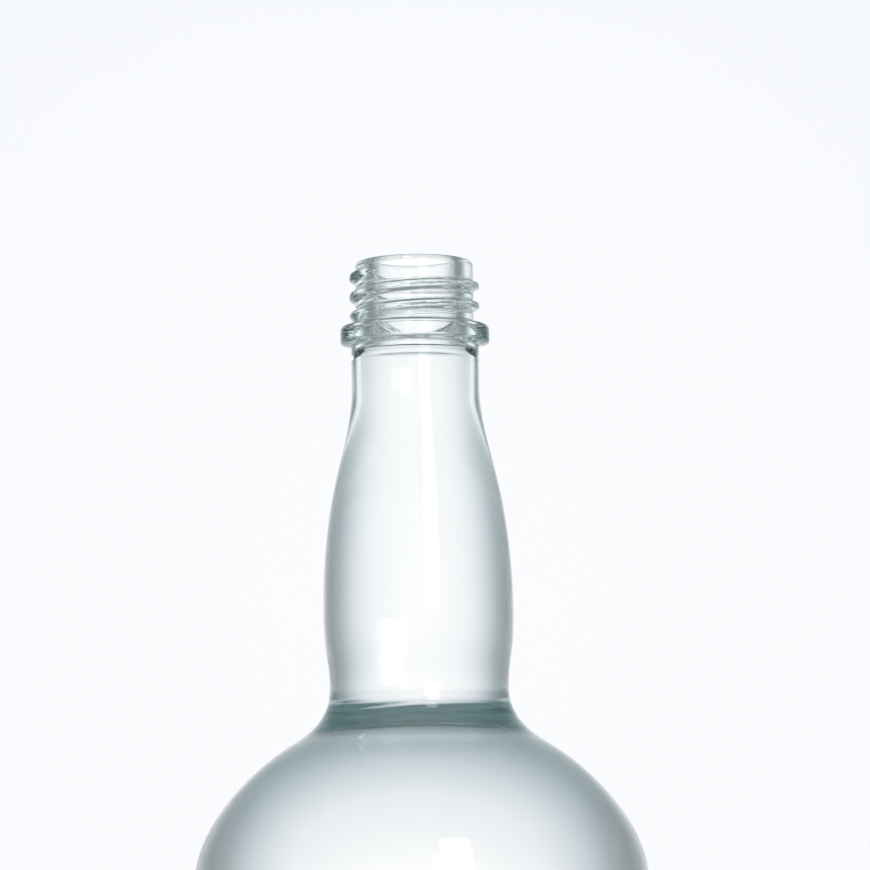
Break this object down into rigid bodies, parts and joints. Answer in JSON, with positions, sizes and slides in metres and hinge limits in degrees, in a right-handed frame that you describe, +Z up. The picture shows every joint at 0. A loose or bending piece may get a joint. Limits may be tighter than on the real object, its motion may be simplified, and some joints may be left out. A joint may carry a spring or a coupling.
{
  "type": "liquor bottle",
  "caption": "Round clear glass spirits bottle with a bulb neck, wide rounded shoulder and open screw finish, filled with clear spirit to just under the finish.",
  "frame": {"origin": "centre of the ring that the bottle stands on, in the ground plane", "axes": "+Z up along the bottle's axis, towards the mouth; the picture looks along +Y"},
  "size_m": [0.0946, 0.0946, 0.268],
  "materials": {
    "clear_glass": "gloss",
    "clear_spirit": "gloss"
  },
  "bodies": {
    "root": {"glass_bottle": "clear_glass", "spirit_fill": "clear_spirit"}
  },
  "joints": []
}
